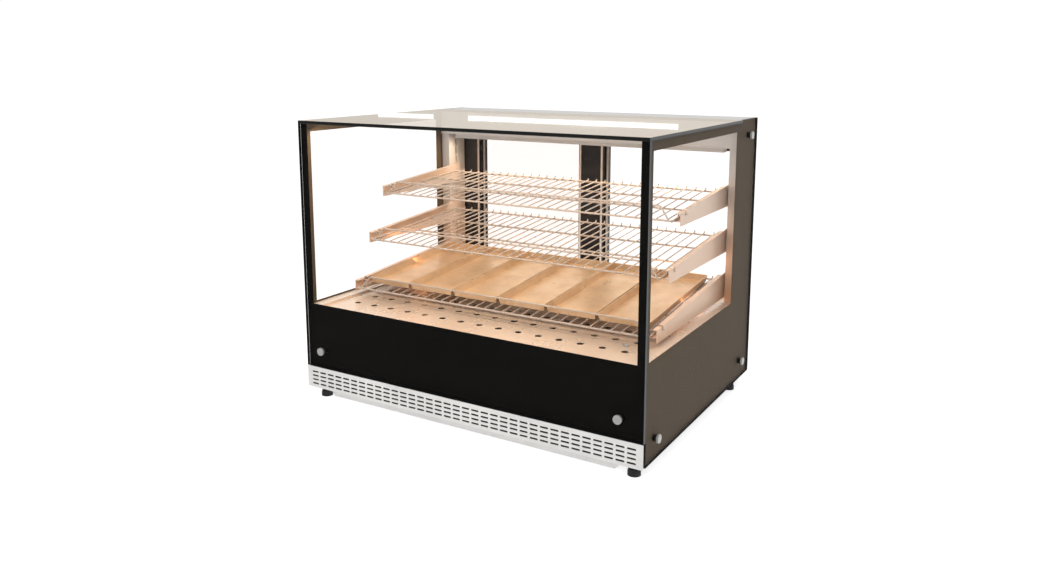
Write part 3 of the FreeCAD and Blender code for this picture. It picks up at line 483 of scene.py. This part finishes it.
def rounded_loop(corners, radius, steps):
    """Corner points of a loop replaced by short arcs."""
    points = []
    befores, afters = corners[-1:] + corners[:-1], corners[1:] + corners[:1]
    for before, corner, after in zip(befores, corners, afters):
        inward, outward = (before - corner).normalized(), (after - corner).normalized()
        a, b = corner + inward * radius, corner + outward * radius
        for k in range(steps + 1):
            s = k / steps
            points.append(a * (1 - s) ** 2 + corner * (2 * s * (1 - s)) + b * s ** 2)
    return points


def door_beads():
    """Bright strips along the customer side of the door stiles."""
    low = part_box("lower_track")[1].z + 2 * MM
    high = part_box("upper_track")[0].z - 2 * MM
    for name in ("left", "right"):
        start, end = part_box(f"door_{name}_frame")
        reach = STILE - BEAD_INSET

        def build(bm):
            for x in (start.x + reach, end.x - reach, end.x - BEAD_INSET, start.x + BEAD_INSET):
                bead(bm, (x, start.y, low), (x, start.y, high), *BEAD, (0, -1, 0), (1, 0, 0))
        finish_piece(mesh_object(f"door_{name}_beads", build), FINISHES["led_aluminium"],
                     f"{name}_door")


def tray_rims():
    """Rolled rims, each a little out of true."""
    chance = random.Random(7)
    for number in range(1, 7):
        low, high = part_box(f"tray_{number}")
        front = Vector((0, low.y, low.z + TRAY_FRONT_HEIGHT))
        back = Vector((0, high.y, high.z))
        corners = [Vector((low.x, front.y, front.z)), Vector((high.x, front.y, front.z)),
                   Vector((high.x, back.y, back.z)), Vector((low.x, back.y, back.z))]
        loop = []
        for a, b in zip(corners, corners[1:] + corners[:1]):
            loop.extend(a.lerp(b, k / 6) for k in range(6))
        wave = [chance.uniform(-0.5, 0.5) * MM for _ in loop]
        path = [p + Vector((0, 0, w)) for p, w in zip(loop, wave)]
        path = rounded_loop(path, 4 * MM, 3)

        def build(bm):
            tube_loop(bm, path, RIM)
        finish_piece(mesh_object(f"tray_{number}_rim", build), FINISHES["tray_metal"],
                     "bottom_shelf_body")


def lift_ring():
    """Small ring that lifts the deck out for cleaning."""
    radius, wire = RING
    lift = 1.6 * MM
    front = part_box("front_glass")[0].y
    centre = Vector((RING_PLACE[0], front + RING_PLACE[1], DECK_TOP + lift))

    def build(bm):
        circle = [centre + Vector((math.cos(a), math.sin(a), 0)) * radius
                  for a in (math.tau * k / 28 for k in range(28))]
        tube_loop(bm, circle, wire)
        lathe(bm, centre + Vector((0, radius, -lift)), (0, 0, 1),
              [(3.2 * MM, 0), (3.0 * MM, 2.2 * MM), (2.0 * MM, 3.2 * MM), (0, 3.4 * MM)], 20)
    finish_piece(mesh_object("deck_ring", build), FINISHES["cap_steel"], "cabinet")


def panel_screws():
    """Button-head screws around the staff-side panel."""
    low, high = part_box("rear_panel")
    aside, above = SCREW_INSET

    def build(bm):
        for x in (low.x + aside, -SCREW_X, SCREW_X, high.x - aside):
            for z in (low.z + above, high.z - above):
                lathe(bm, (x, high.y, z), (0, 1, 0),
                      [(3.9 * MM, 0), (3.8 * MM, 0.6 * MM), (2.9 * MM, 1.6 * MM), (1.6 * MM, 2.0 * MM),
                       (1.5 * MM, 1.0 * MM), (0, 0.9 * MM)], 24)
    finish_piece(mesh_object("panel_screws", build), FINISHES["cap_steel"], "cabinet")


SEGMENTS = {"6": "afgedc", "5": "afgcd"}
# Across, up, and 1 for a level segment.
SEGMENT_PLACES = {"a": (0, 1, 1), "g": (0, 0, 1), "d": (0, -1, 1),
                  "f": (-1, 0.5, 0), "e": (-1, -0.5, 0), "c": (1, -0.5, 0)}


def glowing(name, colour, strength):
    """A lit display segment."""
    g = Graph(name)
    fine = g.noise(900.0, 2.0, 0.5)
    lit = g.shader(g.blend(fine, colour, tuple(c * 0.8 for c in colour)), 0.4)
    g.join(g.blend(fine, colour, tuple(c * 0.85 for c in colour)), lit.inputs["Emission Color"])
    lit.inputs["Emission Strength"].default_value = strength
    return g.finish(lit)


def display_digits():
    """Two seven-segment digits behind the controller's window, read from the staff side."""
    low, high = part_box("controller_lens")
    tall, wide, thick = 4.0 * MM, 2.3 * MM, 0.55 * MM
    middle = (low.z + high.z) / 2

    def build(bm):
        for digit, x in (("6", low.x + 0.040), ("5", low.x + 0.031)):
            for segment in SEGMENTS[digit]:
                across, up, flat = SEGMENT_PLACES[segment]
                centre = Vector((x - across * wide, high.y, middle + up * tall))
                half = Vector((wide * 0.8, 0, 0)) if flat else Vector((0, 0, tall * 0.42))
                side = Vector((0, 0, 1)) if flat else Vector((1, 0, 0))
                bead(bm, centre - half, centre + half, 2 * thick, 0.12 * MM, (0, 1, 0), side)
    finish_piece(mesh_object("display_digits", build), glowing("lit_segments", (1.0, 0.10, 0.04), 2.5),
                 "cabinet", False)


def control_marks():
    """Arrows and a bar on the push buttons, and a line and ring on each rocker."""
    white = moulded("mark_ink", (0.75, 0.75, 0.74), 0.5)
    for name, shape in (("set", "bar"), ("up", "up"), ("down", "down")):
        low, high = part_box(f"button_{name}")
        middle = (low + high) / 2
        place = Vector((middle.x, high.y + 0.05 * MM, (low.z + high.z) / 2))

        def build(bm):
            s = 1.7 * MM
            outline = {"bar": [(-s, -0.4 * MM), (s, -0.4 * MM), (s, 0.4 * MM), (-s, 0.4 * MM)],
                       "up": [(-s, -s * 0.8), (s, -s * 0.8), (0, s)],
                       "down": [(-s, s * 0.8), (s, s * 0.8), (0, -s)]}[shape]
            front = [bm.verts.new(place + Vector((a, 0, b))) for a, b in outline]
            behind = [bm.verts.new(place + Vector((a, -0.3 * MM, b))) for a, b in outline]
            bm.faces.new(front)
            bm.faces.new(behind[::-1])
            for k in range(len(outline)):
                n = (k + 1) % len(outline)
                bm.faces.new((front[n], front[k], behind[k], behind[n]))
            bmesh.ops.recalc_face_normals(bm, faces=bm.faces)
        finish_piece(mesh_object(f"mark_{name}", build), white, f"{name}_button",
                     False)
    for name in ("power", "light"):
        low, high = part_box(f"rocker_{name}")
        x, z = (low.x + high.x) / 2, (low.z + high.z) / 2

        def build(bm):
            for lift, ring in ((7.0 * MM, False), (-7.0 * MM, True)):
                hit, place, normal, _ = nodes[f"rocker_{name}"].ray_cast((x, 0.5, z + lift), (0, -1, 0))
                if hit and ring:
                    lathe(bm, place, normal, [(2.2 * MM, 0), (2.2 * MM, 0.1 * MM),
                                              (1.6 * MM, 0.1 * MM), (1.6 * MM, 0)], 24)
                elif hit:
                    half = Vector((0, 0, 2 * MM))
                    bead(bm, place - half, place + half, 0.7 * MM, 0.15 * MM, normal, (1, 0, 0))
        finish_piece(mesh_object(f"mark_{name}", build), white, f"{name}_rocker",
                     False)


def foot_grips():
    """Knurled grip ring round each levelling foot."""
    for corner in ("front_left", "front_right", "rear_left", "rear_right"):
        low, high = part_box(f"foot_{corner}")
        centre = (low + high) / 2

        def build(bm):
            rings = []
            for z, radius in ((4.6, 13.2), (5.0, 13.9), (10.0, 13.6), (10.4, 12.9)):
                ring = []
                for k in range(GRIP_TEETH):
                    a = math.tau * k / GRIP_TEETH
                    r = (radius - (0.35 if k % 2 else 0.0)) * MM
                    x, y = centre.x + r * math.cos(a), centre.y + r * math.sin(a)
                    ring.append(bm.verts.new((x, y, z * MM)))
                rings.append(ring)
            for lower, upper in zip(rings, rings[1:]):
                for k in range(GRIP_TEETH):
                    n = (k + 1) % GRIP_TEETH
                    bm.faces.new((lower[k], lower[n], upper[n], upper[k]))
        finish_piece(mesh_object(f"grip_{corner}", build), FINISHES["foot_rubber"],
                     f"foot_{corner}_body", False)


door_beads()
tray_rims()
lift_ring()
panel_screws()
display_digits()
control_marks()
foot_grips()


# ---- floor, world and lights ----------------------------------------------------------------

def make_floor():
    def build(bm):
        bmesh.ops.create_grid(bm, x_segments=2, y_segments=2, size=14.0)
    floor = mesh_object("floor", build)
    g = Graph("floor")
    grain = g.noise(3.0, 3.0, 0.5)
    paint = g.shader(g.blend(grain, (0.50, 0.50, 0.50), (0.54, 0.54, 0.54)), 0.9)
    paint.inputs["Emission Color"].default_value = (1.0, 1.0, 1.0, 1.0)
    paint.inputs["Emission Strength"].default_value = 0.78
    dress(floor, g.finish(paint))
    floor.visible_glossy = False


def make_world():
    """White to the camera. Reflections and light come from a studio that is dark in front."""
    world = bpy.data.worlds.new("studio")
    scene.world = world
    world.use_nodes = True
    tree = world.node_tree
    tree.nodes.clear()

    def add(kind, operation=None, **inputs):
        made = tree.nodes.new(kind)
        if operation:
            made.operation = operation
        for key, value in inputs.items():
            socket = made.inputs[int(key[1:])] if key[0] == "i" and key[1:].isdigit() else made.inputs[key]
            if isinstance(value, bpy.types.NodeSocket):
                tree.links.new(value, socket)
            else:
                socket.default_value = value
        return made

    def span(value, start, end, low, high):
        made = add("ShaderNodeMapRange", Value=value)
        made.interpolation_type = "SMOOTHSTEP"
        for key, number in (("From Min", start), ("From Max", end), ("To Min", low), ("To Max", high)):
            made.inputs[key].default_value = number
        return made.outputs[0]

    def calc(operation, a, b):
        return add("ShaderNodeMath", operation, i0=a, i1=b).outputs[0]

    coords = add("ShaderNodeTexCoord")
    x, y, z = add("ShaderNodeSeparateXYZ", Vector=coords.outputs["Generated"]).outputs
    behind = span(y, -0.75, 0.25, 0.10, 1.0)
    above = span(z, 0.15, 0.65, 0.0, 1.0)
    level = calc("MAXIMUM", behind, above)
    left = calc("MULTIPLY", span(x, -0.35, 0.05, 1.0, 0.0), span(y, 0.2, 0.5, 0.0, 1.0))
    low = calc("MULTIPLY", span(z, 0.12, 0.30, 1.0, 0.0), span(z, -0.06, -0.01, 0.0, 1.0))
    warm = calc("MULTIPLY", left, low)
    shade = add("ShaderNodeMix")
    shade.data_type = "RGBA"
    tree.links.new(warm, shade.inputs["Factor"])
    shade.inputs[6].default_value = (1.0, 1.0, 1.0, 1.0)
    shade.inputs[7].default_value = (*rgb(0.90, 0.87, 0.83), 1.0)
    path = add("ShaderNodeLightPath")
    dim = span(path.outputs["Is Diffuse Ray"], 0.0, 1.0, 1.0, 0.6)
    studio = add("ShaderNodeBackground", Color=shade.outputs[2], Strength=calc("MULTIPLY", level, dim))
    white = add("ShaderNodeBackground")
    white.inputs["Color"].default_value = (1.0, 1.0, 1.0, 1.0)
    white.inputs["Strength"].default_value = 1.02
    mix = add("ShaderNodeMixShader")
    tree.links.new(path.outputs["Is Camera Ray"], mix.inputs[0])
    tree.links.new(studio.outputs[0], mix.inputs[1])
    tree.links.new(white.outputs[0], mix.inputs[2])
    out = add("ShaderNodeOutputWorld")
    tree.links.new(mix.outputs[0], out.inputs["Surface"])


def area_light(name, place, target, size, power, colour=(1.0, 1.0, 1.0)):
    """A lamp that neither the camera nor a reflection sees."""
    data = bpy.data.lights.new(name, "AREA")
    data.shape = "RECTANGLE"
    data.size, data.size_y = size
    data.energy = power
    data.color = colour
    lamp = bpy.data.objects.new(name, data)
    scene.collection.objects.link(lamp)
    lamp.location = place
    lamp.rotation_euler = (Vector(target) - Vector(place)).to_track_quat("-Z", "Y").to_euler()
    lamp.visible_camera = False
    lamp.visible_glossy = False


def strip_card(name, x, y, z, strength):
    """A strip lamp far behind, seen only in reflections on the glass top."""
    def build(bm):
        corners = [(x[0], y, z[0]), (x[1], y, z[0]), (x[1], y, z[1]), (x[0], y, z[1])]
        bm.faces.new([bm.verts.new(corner) for corner in corners])
    card = mesh_object(name, build)
    g = Graph(name)
    lamp = g.tree.nodes.new("ShaderNodeEmission")
    lamp.inputs["Strength"].default_value = strength
    dress(card, g.finish(lamp))
    for flag in ("visible_camera", "visible_diffuse", "visible_shadow", "visible_transmission"):
        setattr(card, flag, False)


def light_scene():
    make_world()
    area_light("key", (1.6, -3.2, 2.6), (0, 0, 0.3), (3.0, 2.2), 55.0)
    area_light("front_low", (-0.8, -3.0, 0.7), (0, -0.3, 0.1), (2.4, 1.2), 28.0)
    warm = (1.0, 0.74, 0.50)
    amber = (1.0, 0.55, 0.28)
    lens_low, lens_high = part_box("led_lens")
    middle = (lens_low + lens_high) / 2
    area_light("led_rear", (0, middle.y - 0.004, lens_low.z - 0.012), (0, middle.y - 0.25, 0.3),
               (0.78, 0.02), 2.0, warm)
    area_light("led_front", (0, -0.30, 0.665), (0, -0.16, 0.24), (0.84, 0.02), 2.6, warm)
    for side in (-1, 1):
        area_light(f"glow_{side}", (side * 0.385, 0.05, 0.255), (side * 0.41, 0.2, 0.45),
                   (0.03, 0.4), 0.4, amber)
    for name, x in (("strip_long", (-1.73, -0.49)), ("strip_short", (-2.38, -1.97))):
        strip_card(name, x, 2.2, (0.855, 0.880), 1.6)


make_floor()
light_scene()
make_camera()
